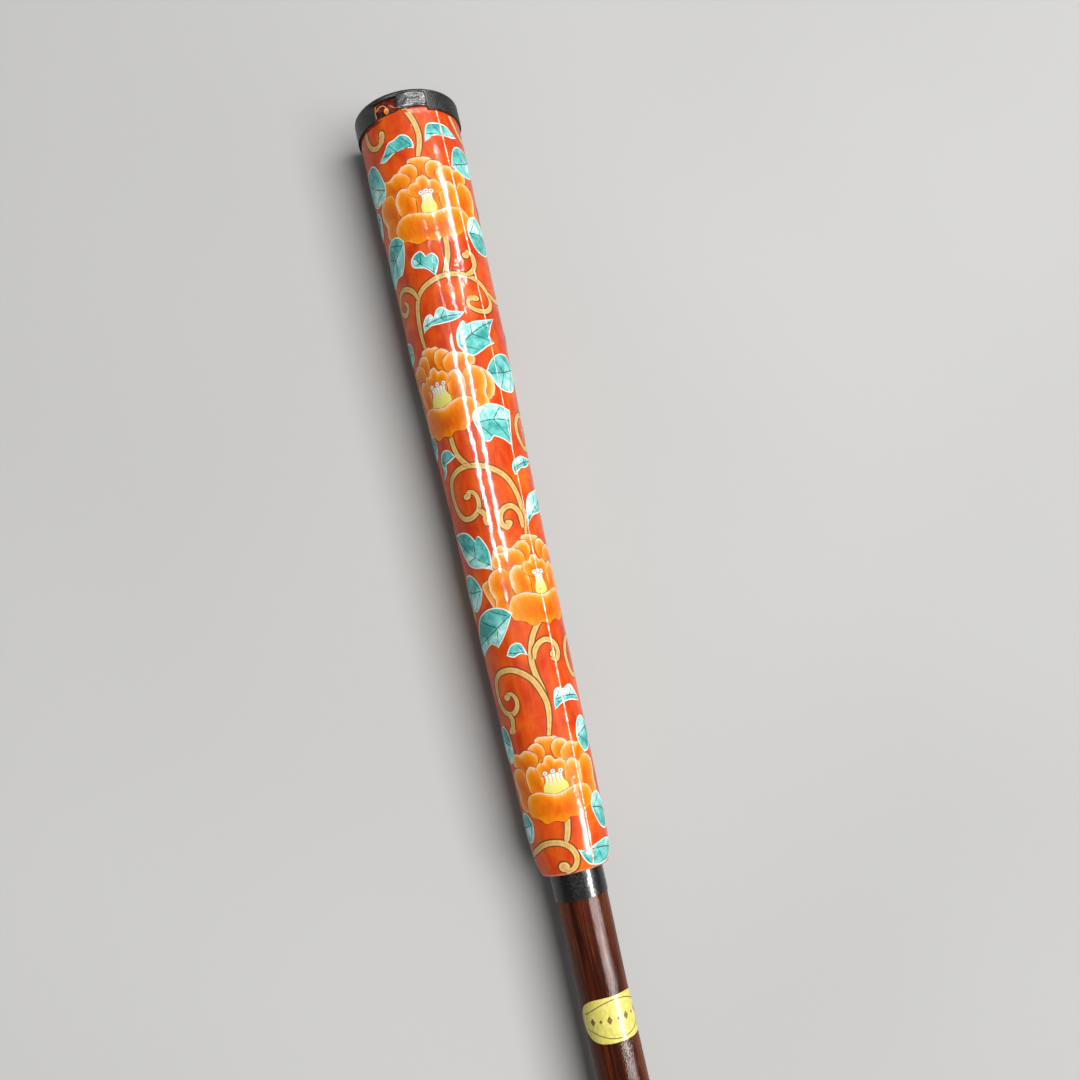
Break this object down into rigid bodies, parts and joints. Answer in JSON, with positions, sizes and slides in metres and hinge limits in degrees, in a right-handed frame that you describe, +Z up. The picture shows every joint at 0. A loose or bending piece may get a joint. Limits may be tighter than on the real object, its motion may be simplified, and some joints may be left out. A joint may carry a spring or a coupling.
{
  "type": "devil stick",
  "caption": "Juggling stick: a lacquered wooden rod with a flared, floral printed grip, black rubber cap and collar at each end, and an oval gold label on the rod.",
  "frame": {"origin": "the balance point, on the rod's axis at mid-length", "axes": "+X runs along the rod from end a, which carries the label, to end b; +Z is up, towards the side of the print that faces the viewer"},
  "size_m": [0.65, 0.0346, 0.035],
  "materials": {
    "rod_wood": "dark reddish brown hardwood under clear gloss lacquer",
    "label_paper": "pale gold foil paper, satin",
    "cap_rubber": "black moulded rubber, satin",
    "tab_vinyl": "black vinyl, glossy",
    "core_foam": "black foamed rubber, matte",
    "grip_tape": "double-sided cloth tape",
    "printed_film": "vermilion film with a floral scroll print under a clear gloss coat",
    "seam_bead": "pale bonded seam, glossy",
    "collar_vinyl": "black, glossy"
  },
  "bodies": {
    "root": {"rod": "rod_wood", "label_band": "label_paper", "end_cap_a": "cap_rubber", "cap_tab_a": "tab_vinyl", "grip_core_a": "core_foam", "grip_tape_a": "grip_tape", "printed_sleeve_a": "printed_film", "sleeve_seam_a": "seam_bead", "tip_collar_a": "collar_vinyl", "end_cap_b": "cap_rubber", "cap_tab_b": "tab_vinyl", "grip_core_b": "core_foam", "grip_tape_b": "grip_tape", "printed_sleeve_b": "printed_film", "sleeve_seam_b": "seam_bead", "tip_collar_b": "collar_vinyl"}
  },
  "joints": []
}
